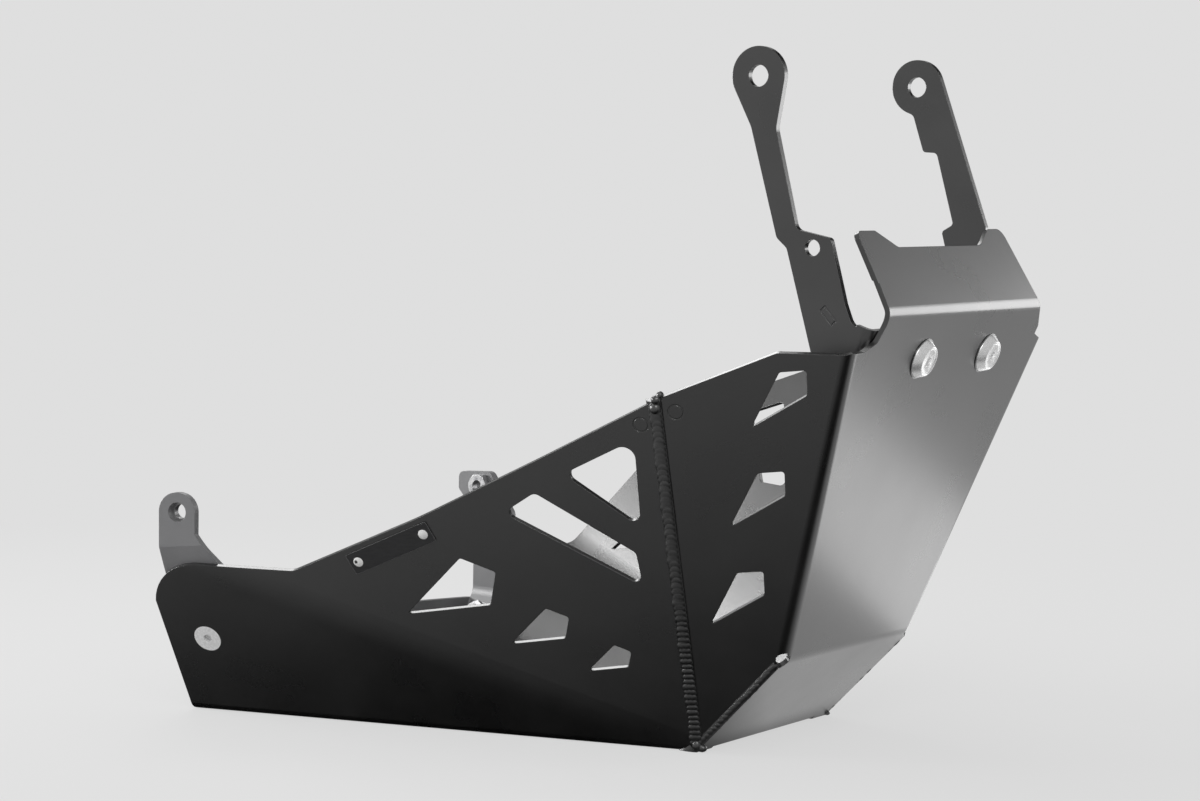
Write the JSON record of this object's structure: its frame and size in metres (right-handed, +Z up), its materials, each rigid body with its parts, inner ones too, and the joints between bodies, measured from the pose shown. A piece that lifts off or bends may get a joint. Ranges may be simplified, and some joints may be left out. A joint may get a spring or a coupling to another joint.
{
  "type": "motorcycle skid plate",
  "caption": "Folded and welded sheet guard for a motorcycle's engine, with flame-shaped vents, two upper arms and a rear bracket with threaded ears.",
  "frame": {"origin": "middle of the footprint on the ground under the floor panel", "axes": "+X towards the front of the motorcycle, +Y to its left, +Z up"},
  "size_m": [0.4466, 0.3664, 0.4012],
  "materials": {
    "black_coat": "satin",
    "grey_coat": "satin",
    "bright_steel": "machined",
    "zinc_steel": "plated",
    "plate_metal": "satin",
    "rivet_metal": "satin"
  },
  "bodies": {
    "root": {"blank_plate": "plate_metal", "ear_nut_left": "zinc_steel", "ear_nut_right": "zinc_steel", "front_cup_washer_left": "bright_steel", "front_cup_washer_right": "bright_steel", "front_nut_left": "zinc_steel", "front_nut_right": "zinc_steel", "front_screw_left": "bright_steel", "front_screw_right": "bright_steel", "front_washer_left": "zinc_steel", "front_washer_right": "zinc_steel", "left_arm": "black_coat", "plate_rivets": "rivet_metal", "rear_bracket": "grey_coat", "rear_nut_left": "zinc_steel", "rear_nut_right": "zinc_steel", "rear_screw_left": "bright_steel", "rear_screw_right": "bright_steel", "rear_washer_left": "zinc_steel", "rear_washer_right": "zinc_steel", "right_arm": "black_coat", "skid_pan": "black_coat"}
  },
  "joints": []
}
